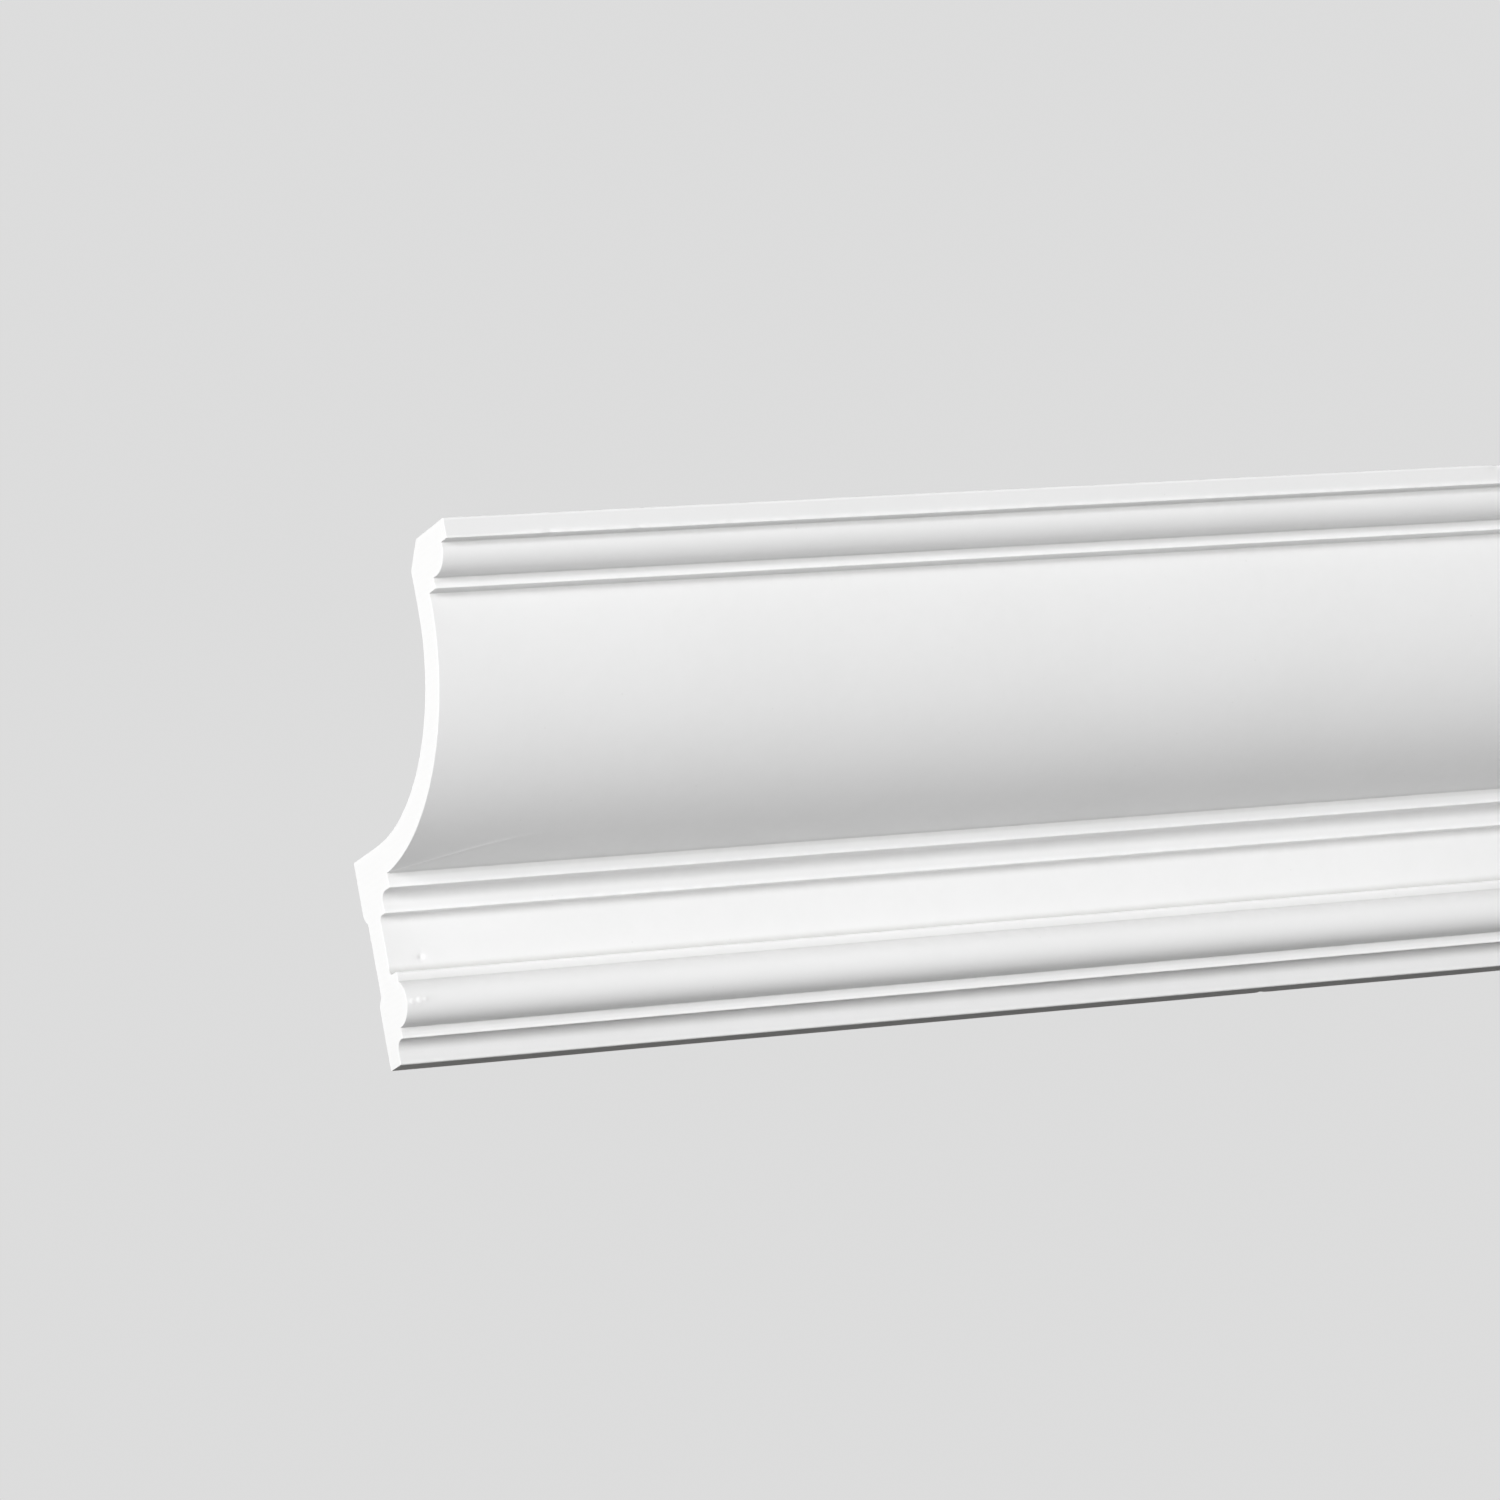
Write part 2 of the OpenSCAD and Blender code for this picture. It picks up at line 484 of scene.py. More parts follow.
@dataclass
class Section:
    """The moulding's section: each member's size, from the foot up and from the ceiling down.

    Distances "out" are measured from the wall, and "back" from the top lip's face.
    """

    height: float
    projection: float
    heel: float = 0.2 * MM
    toe_cut: float = 0.4 * MM
    foot_out: float = 9.6 * MM
    foot_h: float = 4.8 * MM
    foot_cove_r: float = 4.2 * MM
    bead_fillet_out: float = 15.2 * MM
    bead_fillet_h: float = 4.3 * MM
    bead_r: float = 9.2 * MM
    bead_out: float = 24.8 * MM
    step_out: float = 20.5 * MM
    step_h: float = 11.7 * MM
    step_nose_r: float = 1.3 * MM
    frieze_out: float = 14.3 * MM
    frieze_h: float = 23.3 * MM
    frieze_low_cove_r: float = 1.8 * MM
    frieze_top_cove_r: float = 2.2 * MM
    neck_lip_out: float = 19.3 * MM
    neck_lip_h: float = 3.9 * MM
    neck_cove_r: float = 4.0 * MM
    neck_fillet_out: float = 27.6 * MM
    neck_fillet_h: float = 5.6 * MM
    lip_h: float = 8.1 * MM
    quirk_h: float = 1.2 * MM
    ovolo_r: float = 9.0 * MM
    ovolo_back: float = 4.8 * MM
    crown_fillet_h: float = 4.2 * MM
    crown_fillet_back: float = 16.7 * MM
    round_back: float = 22.5 * MM
    round_rise: float = 2.5 * MM
    shell_t: float = 12.0 * MM
    bevel_w: float = 9.0 * MM
    bevel_h: float = 10.0 * MM
    low_strip_h: float = 25.5 * MM
    top_strip_h: float = 22.7 * MM
    bed_d: float = 3.0 * MM
    bed_slope_h: float = 3.0 * MM

    def __post_init__(self) -> None:
        """Work out the heights of the members and the quarter round's centre."""
        self.bead_fillet_z = self.foot_h + self.foot_cove_r
        self.bead_z = self.bead_fillet_z + self.bead_fillet_h + self.bead_r
        self.frieze_z = self.bead_z + self.step_h
        self.neck_lip_z = self.frieze_z + self.frieze_h
        self.neck_cove_z = self.neck_lip_z + self.neck_lip_h
        self.neck_fillet_z = self.neck_cove_z + self.neck_cove_r
        self.round_z = self.neck_fillet_z + self.neck_fillet_h
        self.lip_z = self.height - self.lip_h
        self.ovolo_z = self.lip_z - self.quirk_h
        self.crown_fillet_z = self.ovolo_z - self.ovolo_r - self.crown_fillet_h
        self.round_r = self.crown_fillet_z - self.round_rise - self.round_z
        self.round_out = self.projection - self.round_back
        self.centre_out = self.round_out - self.round_r
        self.centre_z = self.round_z + self.round_r
        self.hollow_r = self.round_r - self.shell_t
        self.leg_top_z = self.centre_z - self.hollow_r

    def outline(self) -> Outline:
        """Go round the section from the heel, up the face, over the ceiling flat and down the back.

        Returns:
            The sharp outline, with its turning points marked.
        """
        line = Outline()
        self._base(line)
        self._frieze_and_neck(line)
        self._crown(line)
        self._back(line)
        return line

    def _base(self, line: Outline) -> None:
        """Add the foot, its cove, the fillet, the bead and the step behind it.

        Args:
            line: The outline so far.
        """
        bead_axis = self.bead_out - self.bead_r
        low = -math.degrees(math.acos((self.bead_fillet_out - bead_axis) / self.bead_r))
        high = math.degrees(math.acos((self.step_out - bead_axis) / self.bead_r))
        line.to(self.heel, 0.0)
        line.to(self.foot_out - self.toe_cut, 0.0, "toe")
        line.to(self.foot_out, self.toe_cut)
        line.arc(self.foot_out + self.foot_cove_r, self.foot_h, self.foot_cove_r, 180, 90)
        line.to(self.bead_fillet_out, self.bead_fillet_z)
        line.arc(bead_axis, self.bead_z, self.bead_r, low, high)
        nose = self.step_nose_r
        line.arc(self.step_out - nose, self.frieze_z - nose, nose, 0, 90)

    def _frieze_and_neck(self, line: Outline) -> None:
        """Add the plain frieze with its two small coves, and the lip, cove and fillet over it.

        Args:
            line: The outline so far.
        """
        low, top, neck = self.frieze_low_cove_r, self.frieze_top_cove_r, self.neck_cove_r
        line.arc(self.frieze_out + low, self.frieze_z + low, low, 270, 180)
        line.arc(self.frieze_out + top, self.neck_lip_z - top, top, 180, 90)
        line.to(self.neck_lip_out, self.neck_lip_z)
        line.arc(self.neck_lip_out + neck, self.neck_cove_z, neck, 180, 90)
        line.to(self.neck_fillet_out, self.neck_fillet_z)

    def _crown(self, line: Outline) -> None:
        """Add the convex quarter round, and the fillet, ovolo and lip over it.

        Args:
            line: The outline so far.
        """
        start = -math.degrees(math.acos((self.neck_fillet_out - self.centre_out) / self.round_r))
        fillet_out = self.projection - self.crown_fillet_back
        ovolo_out = self.projection - self.ovolo_back
        line.arc(self.centre_out, self.centre_z, self.round_r, start, 0)
        line.to(self.round_out, self.crown_fillet_z)
        line.to(fillet_out, self.crown_fillet_z)
        line.to(fillet_out, self.ovolo_z - self.ovolo_r)
        line.arc(ovolo_out - self.ovolo_r, self.ovolo_z, self.ovolo_r, -90, 0)
        line.to(ovolo_out, self.lip_z)
        line.to(self.projection, self.lip_z)
        line.to(self.projection, self.height, "lip")

    def _back(self, line: Outline) -> None:
        """Add the ceiling flat, its bevel, the hollow and the wall strips with the glue bed.

        Args:
            line: The outline so far.
        """
        hollow_out = self.centre_out + self.hollow_r
        bed_top_z = self.leg_top_z - self.top_strip_h
        line.to(hollow_out + self.bevel_w, self.height, "back starts")
        line.to(hollow_out, self.height - self.bevel_h)
        line.arc(self.centre_out, self.centre_z, self.hollow_r, 0, -90)
        line.to(0.0, self.leg_top_z)
        line.to(0.0, bed_top_z)
        line.to(self.bed_d, bed_top_z - self.bed_slope_h)
        line.to(self.bed_d, self.low_strip_h + self.bed_slope_h)
        line.to(0.0, self.low_strip_h)
        line.to(0.0, self.low_strip_h / 3, "back ends")
        line.to(0.0, self.heel)


def bell_blur(samples: Array, length: float, width: float) -> Array:
    """Blur samples round a closed line.

    Each sample becomes the mean of its neighbours, weighted by a bell curve of their distance. It
    is done on the waves that make up the line: each is weakened by e to the power of minus half
    the square of its number times the width.

    Args:
        samples: Evenly spaced samples, one row each.
        length: The length of the closed line.
        width: The bell's standard deviation.

    Returns:
        The blurred samples.
    """
    waves = 2 * math.pi * np.fft.fftfreq(len(samples), length / len(samples))
    weights = np.exp(-0.5 * (waves * width) ** 2)
    shaped = weights.reshape(-1, *[1] * (samples.ndim - 1))
    return np.real(np.fft.ifft(np.fft.fft(samples, axis=0) * shaped, axis=0))


def spread(density: Array, at: Array, count: int, closed: bool) -> Array:
    """Place points so that the same share of the whole density lies between any two neighbours.

    Args:
        density: How close the points should be at each sample.
        at: Where the samples are, in rising order.
        count: How many points.
        closed: True on a closed line, where the last point stops short of the first.

    Returns:
        The places.
    """
    share = np.concatenate([[0.0], np.cumsum((density[1:] + density[:-1]) * np.diff(at) / 2)])
    return np.interp(np.linspace(0.0, share[-1], count, endpoint=not closed), share, at)


def read_round(values: Array, at: Array, chosen: Array, length: float) -> Array:
    """Read samples of a closed line at other places, on straight lines between them.

    Args:
        values: The samples, one row each.
        at: Where they are along the line.
        chosen: Where to read.
        length: The length of the closed line.

    Returns:
        What was read, one row for each chosen place.
    """
    columns = values.reshape(len(at), -1).T
    read = np.stack([np.interp(chosen, at, column, period=length) for column in columns], 1)
    return read.reshape(len(chosen), *values.shape[1:])


def bell_round(place: Array, out: float, up: float, width: float) -> Array:
    """Bell curve round a point: e to the power of minus the square of distance over width."""
    return np.exp(-((place - [out, up]) ** 2).sum(1) / width**2)


@dataclass(frozen=True)
class Knock:
    """A bell-shaped dent round one point, or a drip that stands up if its depth is negative."""

    along: float
    out: float
    up: float
    radius: float
    depth: float


@dataclass
class Contour:
    """The softened section as the points that the surface is made on, one entry each.

    A point's place is (out, up), its normal points out of the foam, and its run is the way round to
    it. Arris and nook say how sharply the line turns outwards or inwards near it, back is true on
    the bare foam, and spray is how much of the primer has drifted there.
    """

    place: Array
    normal: Array
    run: Array
    arris: Array
    nook: Array
    back: Array
    spray: Array


@dataclass
class Faces:
    """A mesh's faces: four-sided ones first, then triangles."""

    quads: Array
    tris: Array

    def fill(self, mesh: bpy.types.Mesh, points: Array) -> None:
        """Put points and faces into an empty mesh.

        Args:
            mesh: The mesh.
            points: The points.
        """
        corners = np.concatenate([self.quads.ravel(), self.tris.ravel()])
        sides = np.concatenate([np.full(len(self.quads), 4), np.full(len(self.tris), 3)])
        starts = np.concatenate([[0], np.cumsum(sides)[:-1]])
        mesh.vertices.add(len(points))
        mesh.vertices.foreach_set("co", points.astype(np.float32).ravel())
        mesh.loops.add(len(corners))
        mesh.loops.foreach_set("vertex_index", corners.astype(np.int32))
        mesh.polygons.add(len(sides))
        mesh.polygons.foreach_set("loop_start", starts.astype(np.int32))
        mesh.update(calc_edges=True)
        mesh.validate()
        mesh.polygons.foreach_set("use_smooth", np.ones(len(sides), bool))


@dataclass
class CrownMoulding:
    """The whole length of moulding: the softened section, run along X and closed at both ends."""

    length: float
    section: Section
    primer: Primer = Primer()
    bare_back: BareBack = BareBack()
    sawn_foam: SawnFoam = SawnFoam()
    face_softness: float = 0.26 * MM
    back_softness: float = 0.75 * MM
    softness_blend: float = 2 * MM
    arris_blur: float = 0.8 * MM
    arris_reach: float = 1.5 * MM
    nook_blur: float = 1.5 * MM
    nook_reach: float = 1.6 * MM
    spray_reach: float = 9 * MM
    samples: int = 8192
    contour_points: int = 420
    contour_gap: float = 3.2 * MM
    contour_turn: float = math.radians(13)
    stations: int = 214
    station_gap: float = 4.2 * MM
    end_pitch: float = 3.4 * MM
    rim_depth: float = 1.2 * MM
    cut_softness: float = 0.3 * MM
    wave_count: int = 9
    wave_sizes: Span = (60 * MM, 260 * MM)
    wave_height: float = 0.018 * MM
    drip_height: float = 0.2 * MM
    run_start: float = 27 * MM
    run_fade: float = 2 * MM
    run_rise: float = 0.5 * MM
    run_width: float = 1.3 * MM
    # Where the painted shade line at the frieze's foot lies, and how wide it is.
    foot_shade_rise: float = 1.2 * MM
    foot_shade_width: float = 0.9 * MM
    crease_start: float = 1.6 * MM
    seed: int = 11

    def contour(self) -> Contour:
        """Soften the outline and choose the points that carry it.

        The face's arrises are blurred with a narrow bell and the back's with a wider one. Points
        lie closest where the line turns most, and never further apart than a few millimetres.

        Returns:
            The points, with their normals and what the finishes need to know about them.
        """
        line = self.section.outline()
        sharp, length = line.even(self.samples)
        step = length / self.samples
        at = np.arange(self.samples) * step
        marks = {
            name: at[np.argmin(np.hypot(*(sharp - point).T))] for name, point in line.marks.items()
        }
        on_back = ((at >= marks["back starts"]) & (at <= marks["back ends"])).astype(float)
        bare = ((at >= marks["lip"]) | (at <= marks["toe"])).astype(float)
        share = bell_blur(on_back, length, self.softness_blend)[:, None]
        soft = (1 - share) * bell_blur(sharp, length, self.face_softness)
        soft += share * bell_blur(sharp, length, self.back_softness)
        slope = (np.roll(soft, -1, 0) - np.roll(soft, 1, 0)) / (2 * step)
        heading = np.unwrap(np.arctan2(slope[:, 1], slope[:, 0]))
        turn = np.gradient(heading, step)
        convex = bell_blur(np.clip(turn, 0, None), length, self.arris_blur)
        hollow = bell_blur(np.clip(-turn, 0, None), length, self.nook_blur)
        closeness = 1 / self.contour_gap + np.abs(turn) / self.contour_turn
        for knock in self.knocks():
            gap = np.hypot(*(soft - [knock.out, knock.up]).T)
            closeness += np.exp(-((gap / (1.6 * knock.radius)) ** 2)) / (0.5 * knock.radius)
        closeness = bell_blur(closeness, length, 0.25 * MM)
        chosen = spread(closeness, at, self.contour_points, closed=True)
        tangent = read_round(slope, at, chosen, length)
        tangent /= np.hypot(*tangent.T)[:, None]
        flank = np.minimum(np.abs(chosen - marks["lip"]), (chosen - marks["toe"]) % length)
        flank = np.minimum(flank, (marks["toe"] - chosen) % length)
        return Contour(
            place=read_round(soft, at, chosen, length),
            normal=np.stack([tangent[:, 1], -tangent[:, 0]], 1),
            run=chosen,
            arris=np.clip(read_round(convex, at, chosen, length) * self.arris_reach, 0, 1),
            nook=np.clip(read_round(hollow, at, chosen, length) * self.nook_reach, 0, 1),
            back=read_round(bare, at, chosen, length) > 0.5,
            spray=np.exp(-flank / self.spray_reach),
        )

    def knocks(self) -> list[Knock]:
        """List the blemishes: a speck on the frieze, three drips on the bead, and edge nicks.

        Returns:
            The blemishes.
        """
        s, left = self.section, -self.length / 2
        return [
            Knock(left + 14.3 * MM, s.frieze_out, s.frieze_z + 6.4 * MM, 0.75 * MM, 0.5 * MM),
            Knock(left + 2.3 * MM, s.bead_out, s.bead_z - 1.3 * MM, 0.8 * MM, -0.3 * MM),
            Knock(left + 5.4 * MM, s.bead_out, s.bead_z - 1.0 * MM, 0.9 * MM, -0.3 * MM),
            Knock(left + 7.9 * MM, s.bead_out, s.bead_z - 0.9 * MM, 0.6 * MM, -0.22 * MM),
            Knock(left + 43 * MM, s.projection, s.lip_z, 1.3 * MM, 0.3 * MM),
            Knock(left + 81 * MM, s.projection, s.lip_z, 1.0 * MM, 0.25 * MM),
            Knock(left + 391 * MM, 0.8 * MM, 0.0, 0.9 * MM, 0.4 * MM),
            Knock(left + 470 * MM, s.projection, s.height, 1.8 * MM, 0.45 * MM),
        ]

    def knocked(self, along: Array, place: Array) -> Array:
        """Depth of the knocks at each station and contour point, the sum of their bell curves.

        Args:
            along: The stations along X.
            place: The contour's points as (out, up).

        Returns:
            Depths in metres, one row for each station, negative where paint stands up.
        """
        depth = np.zeros((len(along), len(place)))
        for k in self.knocks():
            gap2 = (along[:, None] - k.along) ** 2 + ((place - [k.out, k.up]) ** 2).sum(1)[None]
            depth += k.depth * np.exp(-gap2 / (2 * k.radius**2))
        return depth

    def unevenness(self, along: Array, place: Array) -> Array:
        """Height of the surface over the true form, outwards, at each station and contour point.

        It is a sum of slow waves, each the cosine of a random direction's share of the place.

        Args:
            along: The stations along X.
            place: The contour's points as (out, up).

        Returns:
            Heights in metres, one row for each station.
        """
        rng = np.random.default_rng(self.seed)
        size = rng.uniform(*self.wave_sizes, self.wave_count)
        aim = rng.normal(size=(self.wave_count, 3)) * [0.7, 1.0, 1.0]
        aim *= (2 * math.pi / size / np.linalg.norm(aim, axis=1))[:, None]
        phase = rng.uniform(0, 2 * math.pi, self.wave_count)
        angle = along[:, None, None] * aim[:, 0] + (place @ aim[:, 1:].T)[None] + phase
        return self.wave_height * np.cos(angle).sum(2)

    def station_places(self) -> Array:
        """Place the stations along X: evenly, closer at the cut ends and at each knock.

        Returns:
            The stations, from the left end to the right.
        """
        half = self.length / 2 - self.cut_softness
        at = np.linspace(-half, half, 6001)
        closeness = np.full(at.shape, 1 / self.station_gap)
        closeness += np.exp(-(half - np.abs(at)) / (1.5 * MM)) / (0.8 * MM)
        for k in self.knocks():
            closeness += np.exp(-(((at - k.along) / (1.8 * k.radius)) ** 2)) / (0.7 * k.radius)
        return spread(closeness, at, self.stations, closed=False)

    def end_faces(self, rim: Array) -> tuple[Array, Array]:
        """Fill the section with triangles that meet its rim and a lattice of points inside it.

        Args:
            rim: The rim's points in the plane, in order.

        Returns:
            The points inside the rim, and the triangles, which number the rim's points first and
            face along -X.
        """
        low, high = rim.min(0), rim.max(0)
        lines = (np.arange(a, b, self.end_pitch) for a, b in zip(low, high))
        lattice = np.stack(np.meshgrid(*lines), -1).reshape(-1, 2)
        gap = np.linalg.norm(lattice[:, None] - rim[None], axis=2).min(1)
        lattice = lattice[gap > 0.45 * self.end_pitch]
        nxt = np.roll(rim, -1, 0)
        crosses = (rim[None, :, 1] > lattice[:, 1:]) != (nxt[None, :, 1] > lattice[:, 1:])
        run = np.where(nxt[:, 1] == rim[:, 1], 1e-12, nxt[:, 1] - rim[:, 1])
        reach = rim[:, 0] + (lattice[:, 1:] - rim[None, :, 1]) * (nxt - rim)[:, 0] / run
        inside = lattice[(crosses & (lattice[:, :1] < reach)).sum(1) % 2 == 1]
        points = [Vector(p) for p in np.concatenate([rim, inside]).tolist()]
        count = len(rim)
        edges = [(i, (i + 1) % count) for i in range(count)]
        made = delaunay_2d_cdt(points, edges, [list(range(count))], 1, 1e-9)
        return inside, np.array(made[2])

    def build(self) -> bpy.types.Object:
        """Make the moulding's surface and dress it.

        A point of the surface is (x, -out, up) of a contour point, moved outwards by the
        unevenness there. The end rings are drawn in and on by the cut's softness, and each end is
        filled. Normals are the contour's own, tilted by the slope of the unevenness, so that flat
        faces stay flat up to their arrises.

        Returns:
            The finished object.
        """
        # The rings of points.
        contour = self.contour()
        along = self.station_places()
        knocked = self.knocked(along, contour.place)
        height = self.unevenness(along, contour.place) - knocked
        rows, cols = height.shape
        out_up = contour.place[None] + height[..., None] * contour.normal[None]
        ragged = self.ragged_cut(contour.run)
        ends = [out_up[i] - ragged[:, None] * contour.normal for i in (0, -1)]
        out_up = np.concatenate([ends[:1], out_up, ends[1:]])
        x = np.concatenate([[-self.length / 2], along, [self.length / 2]])
        across = np.broadcast_to(x[:, None], out_up.shape[:2])
        side = np.stack([across, -out_up[..., 0], out_up[..., 1]], 2)

        # Their normals.
        gap_x = np.gradient(height, along, axis=0)
        wrapped = np.concatenate([height[:, -1:], height, height[:, :1]], 1)
        whole = contour.run[-1] + (contour.run[1] - contour.run[0])
        run = np.concatenate([[contour.run[-1] - whole], contour.run, [whole]])
        gap_s = np.gradient(wrapped, run, axis=1)[:, 1:-1]
        tangent = np.stack([-contour.normal[:, 1], contour.normal[:, 0]], 1)
        flat = contour.normal[None] - gap_s[..., None] * tangent[None]
        normal = np.stack([-gap_x, -flat[..., 0], flat[..., 1]], 2)
        outwards = np.array([-1.0, 1.0])[:, None, None] * [1.0, 0.0, 0.0]
        cut = normal[[0, -1]] + outwards
        normal = np.concatenate([cut[:1], normal, cut[1:]])
        normal /= np.linalg.norm(normal, axis=2, keepdims=True)

        # The faces between the rings, and the filled ends.
        total = rows + 2
        first = np.arange(total * cols).reshape(total, cols)
        a, b = first[:-1], first[1:]
        quads = np.stack([a, b, np.roll(b, -1, 1), np.roll(a, -1, 1)], 2).reshape(-1, 4)
        inner, tris = self.end_faces(out_up[0])
        inner_x = np.array([-self.length / 2, self.length / 2])
        caps = [np.stack([np.full(len(inner), v), -inner[:, 0], inner[:, 1]], 1) for v in inner_x]
        points = np.concatenate([side.reshape(-1, 3), *caps])
        own = total * cols + np.arange(2 * len(inner)).reshape(2, -1)
        left = np.concatenate([first[0], own[0]])[tris]
        right = np.concatenate([first[-1], own[1]])[tris[:, ::-1]]
        faces = Faces(quads, np.concatenate([left, right]))

        # What the finishes read.
        bare = contour.back & np.roll(contour.back, -1)
        skins = np.tile(np.where(bare, Skin.BACK.value, Skin.PRIMED.value), total - 1)
        skins = np.concatenate([skins, np.full(2 * len(left), Skin.SAWN.value)])
        end_normals = np.repeat([[-1.0, 0.0, 0.0], [1.0, 0.0, 0.0]], left.size, 0)
        corner = np.concatenate([normal.reshape(-1, 3)[quads.ravel()], end_normals])
        # The bead's drips share the arris's painted highlight.
        raised = np.clip(-knocked / self.drip_height, 0, 1)
        everywhere = np.ones((total, 1))
        s = self.section
        # Painted shade at the frieze's foot: a dark line just above the step, where the step hides
        # the corner.
        painted_shade = bell_round(contour.place, s.frieze_out, s.frieze_z + self.foot_shade_rise, self.foot_shade_width)
        # nook, ledge and frieze_foot say where the primer paints shade; arris and the lip's run say
        # where it paints a highlight.
        measures = {
            "arris": np.maximum(contour.arris, np.concatenate([raised[:1], raised, raised[-1:]])),
            "run_and_highlight": self.run_and_highlight(x, contour.place),
            "nook": contour.nook * everywhere,
            "frieze_foot": painted_shade * everywhere,
            "ledge": np.clip(contour.normal[:, 1], 0, 1) * everywhere,
            "spray": contour.spray * everywhere,
        }
        inside = np.zeros(2 * len(inner))
        measures = {name: np.concatenate([grid.ravel(), inside]) for name, grid in measures.items()}
        gap = np.linalg.norm(inner[:, None] - out_up[0][None], axis=2).min(1)
        skin = np.tile(np.exp(-gap / self.rim_depth), 2)
        measures["rim"] = np.concatenate([np.ones(total * cols), skin])
        return self.dress(points, faces, skins, corner, measures)

    def run_and_highlight(self, x: Array, place: Array) -> Array:
        """Where paint has gathered along the lip's lower arris, drawn as a bump and a painted
        highlight.

        It is a bell curve of the distance from a line just over the arris, which starts a little
        way along the piece with an S-shaped step.

        Args:
            x: The stations along X.
            place: The contour's points as (out, up).

        Returns:
            The thickness of the run from 0 to 1, one row for each station.
        """
        s = self.section
        started = 1 / (1 + np.exp((self.run_start - self.length / 2 - x) / self.run_fade))
        gathered = bell_round(place, s.projection, s.lip_z + self.run_rise, self.run_width)
        return started[:, None] * gathered[None]

    def ragged_cut(self, run: Array) -> Array:
        """How far the sawn ends are drawn in at the rim: the cut's softness, more or less of it."""
        waver = np.sin(run / (3.1 * MM)) * np.sin(run / (7.7 * MM))
        return self.cut_softness * (0.4 + 0.12 * waver)

    def dress(
        self, points: Array, faces: Faces, skins: Array, corner: Array, measures: dict[str, Array]
    ) -> bpy.types.Object:
        """Make the object and give it its finishes.

        Args:
            points: The points.
            faces: The faces.
            skins: The kind of surface of each face.
            corner: The normal at each corner of each face.
            measures: Values at each point that the finishes read.

        Returns:
            The finished object, riding on the frame.
        """
        mesh = bpy.data.meshes.new("moulding")
        faces.fill(mesh, points)
        s = self.section
        start = Corner(-self.length / 2, s.neck_fillet_out + self.crease_start, s.round_z)
        mesh.materials.append(self.primer.material(start))
        mesh.materials.append(self.bare_back.material())
        mesh.materials.append(self.sawn_foam.material())
        mesh.polygons.foreach_set("material_index", skins.astype(np.int32))
        for name, values in measures.items():
            made = mesh.attributes.new(name, "FLOAT", "POINT")
            made.data.foreach_set("value", values.astype(np.float32))
        mesh.update()
        mesh.normals_split_custom_set(corner.tolist())
        piece = bpy.data.objects.new("moulding", mesh)
        bpy.context.scene.collection.objects.link(piece)
        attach(piece, "root")
        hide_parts(NODE)
        return piece


# ---- the studio ----


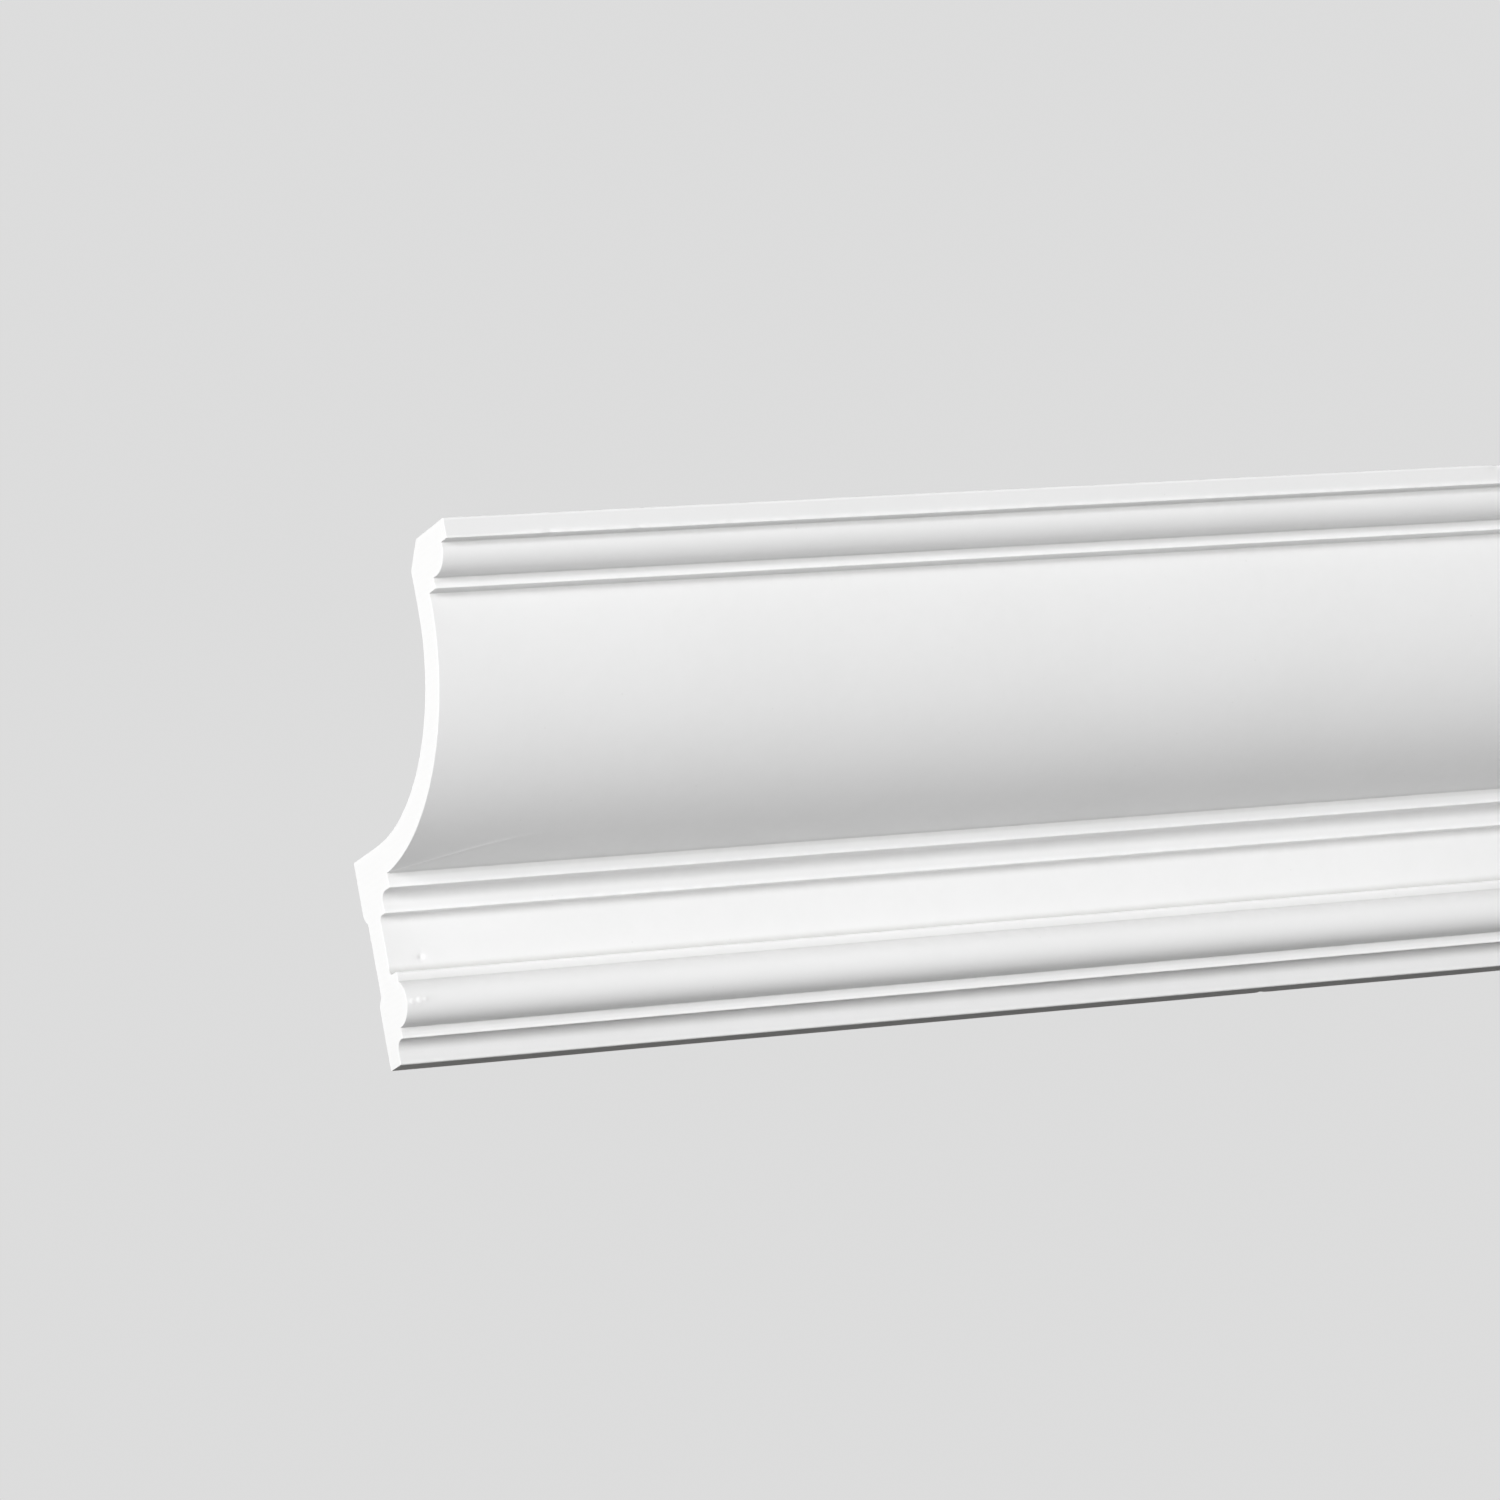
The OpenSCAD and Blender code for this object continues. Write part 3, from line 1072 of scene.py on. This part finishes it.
@dataclass
class Studio:
    """A pale floor a room's height below the moulding, and soft light round it."""

    middle: Vector
    floor_drop: float = 2.4
    floor_size: float = 60.0

    def level_sheet(
        self, name: str, material: bpy.types.Material, xs: Span, ys: Span, z: float
    ) -> bpy.types.Object:
        """Lay a flat sheet that belongs to the studio.

        Args:
            name: Its name.
            material: What it is made of.
            xs: Where it starts and ends along X.
            ys: Where it starts and ends along Y.
            z: Its height.

        Returns:
            The sheet.
        """
        mesh = bpy.data.meshes.new(name)
        corners = [(xs[0], ys[0], z), (xs[1], ys[0], z), (xs[1], ys[1], z), (xs[0], ys[1], z)]
        mesh.from_pydata(corners, [], [(0, 1, 2, 3)])
        mesh.materials.append(material)
        laid = bpy.data.objects.new(name, mesh)
        bpy.context.scene.collection.objects.link(laid)
        LOG.info("studio: %s", name)
        return laid

    def floor(self) -> bpy.types.Object:
        """Lay the floor. It is lit from within, evenly, and throws no light up at the moulding.

        Returns:
            The floor.
        """
        g = Graph(bpy.data.materials.new("pale_floor"))
        tone = g.noise(g.place(), 1.7, 3.0, 0.5)
        glow = g.mix(tone, (0.66, 0.66, 0.657), (0.70, 0.70, 0.697))
        material = g.surface(
            Base_Color=(0.1, 0.1, 0.1, 1.0),
            Roughness=1.0,
            Specular_IOR_Level=0.0,
            Emission_Color=glow,
            Emission_Strength=1.0,
        )
        sides = (-self.floor_size / 2, self.floor_size / 2)
        floor = self.level_sheet("floor", material, sides, sides, -self.floor_drop)
        floor.visible_diffuse = False
        return floor

    def sky(self, level: float, zenith: float, below: float) -> None:
        """Light the room from all sides, less from overhead in front and less from below.

        Args:
            level: Brightness around the horizon.
            zenith: Brightness overhead in front, as a share of that.
            below: Brightness from below, as a share of that.
        """
        world = bpy.data.worlds.new("studio")
        bpy.context.scene.world = world
        g = Graph(world)
        way = g.node("ShaderNodeTexCoord")
        rise = g.axis(way, "Z")
        before = 1.0 - g.axis(way, "Y").between(-0.3, 0.3)
        lit = below + (1.0 - below) * rise.between(-0.43, -0.02)
        lit = lit * (1.0 - (1.0 - zenith) * before * rise.between(-0.05, 0.5))
        sockets = {"Color": (1.0, 1.0, 1.0, 1.0), "Strength": level * lit}
        light = g.node("ShaderNodeBackground", None, sockets)
        g.node("ShaderNodeOutputWorld", None, {"Surface": light})

    def flag(self, depth: float, width: float, drop: float, length: float) -> bpy.types.Object:
        """Lay a black card under the moulding's foot, which keeps light off its underside.

        Args:
            depth: How far in front of the wall the card starts.
            width: How wide it is from front to back.
            drop: How far it lies under the foot.
            length: How long it is.

        Returns:
            The card, which the camera does not see.
        """
        g = Graph(bpy.data.materials.new("black_card"))
        nap = g.noise(g.place(), 5 * MM)
        black = g.mix(nap, (0.01, 0.01, 0.01), (0.02, 0.02, 0.02))
        material = g.surface(Base_Color=black, Roughness=0.9)
        xs, ys = (-length / 2, length / 2), (-depth, width - depth)
        card = self.level_sheet("black_card", material, xs, ys, -drop)
        card.visible_camera = False
        return card

    def softbox(
        self, name: str, towards: Vector, distance: float, size: float, power: float
    ) -> bpy.types.Object:
        """Hang a square softbox that faces the moulding.

        Args:
            name: Its name.
            towards: The direction from the moulding to it.
            distance: How far away it is.
            size: The length of its sides.
            power: Its power in watts.

        Returns:
            The light.
        """
        data = bpy.data.lights.new(name, "AREA")
        data.size = size
        data.energy = power
        light = bpy.data.objects.new(name, data)
        aim = towards.normalized()
        place = Matrix.Translation(self.middle + aim * distance)
        light.matrix_world = place @ aim.to_track_quat("Z", "Y").to_matrix().to_4x4()
        light.visible_camera = False
        bpy.context.scene.collection.objects.link(light)
        LOG.info("studio: softbox %s", name)
        return light


@dataclass
class Camera:
    """The camera: what it looks at, from where, how it is rolled, and its lens."""

    aim: Vector
    distance: float
    heading: float
    pitch: float
    roll: float
    lens: float

    def place(self) -> bpy.types.Object:
        """Put the camera in the scene.

        It stands its distance back from the point it looks at. Its sight line is turned by the
        heading from +Y towards +X and raised by the pitch, and it is rolled about that line.

        Returns:
            The camera.
        """
        h, p, r = (math.radians(a) for a in (self.heading, self.pitch, self.roll))
        sight = Vector((math.sin(h) * math.cos(p), math.cos(h) * math.cos(p), math.sin(p)))
        level = sight.cross(Vector((0, 0, 1))).normalized()
        upright = level.cross(sight)
        right = math.cos(r) * level + math.sin(r) * upright
        up = math.cos(r) * upright - math.sin(r) * level
        turn = Matrix((right, up, -sight)).transposed().to_4x4()
        data = bpy.data.cameras.new("camera")
        data.lens = self.lens
        data.sensor_width = 36.0
        data.clip_end = 200.0
        camera = bpy.data.objects.new("camera", data)
        camera.matrix_world = Matrix.Translation(self.aim - self.distance * sight) @ turn
        bpy.context.scene.collection.objects.link(camera)
        bpy.context.scene.camera = camera
        LOG.info("camera: %.0f mm lens, %.2f m away", self.lens, self.distance)
        return camera


def main() -> None:
    """Build the studio, the camera and the moulding, and report each."""
    logging.basicConfig(level=logging.INFO, format="%(name)s: %(message)s")
    low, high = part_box(NODE)
    studio = Studio(middle=(low + high) / 2)
    studio.floor()
    studio.sky(level=0.72, zenith=0.17, below=0.465)
    studio.flag(depth=28 * MM, width=40 * MM, drop=12 * MM, length=0.55)
    key, fill = Vector((-0.77, -0.638, 0.05)), Vector((0.5, 0.65, 0.57))
    studio.softbox("key", key, distance=14.0, size=9.0, power=2160.0)
    studio.softbox("fill", fill, distance=14.0, size=9.0, power=600.0)
    bpy.context.scene.view_settings.view_transform = "Standard"
    aim = Vector((low.x + 147.2 * MM, -60 * MM, 101.1 * MM))
    Camera(aim, distance=2.7157, heading=28.57, pitch=13.09, roll=-10.98, lens=168.1).place()

    section = Section(height=high.z, projection=-low.y)
    moulding = CrownMoulding(length=high.x - low.x, section=section).build()
    made = moulding.data
    LOG.info("%s: %d points, %d faces", moulding.name, len(made.vertices), len(made.polygons))


if __name__ == "__main__":
    main()
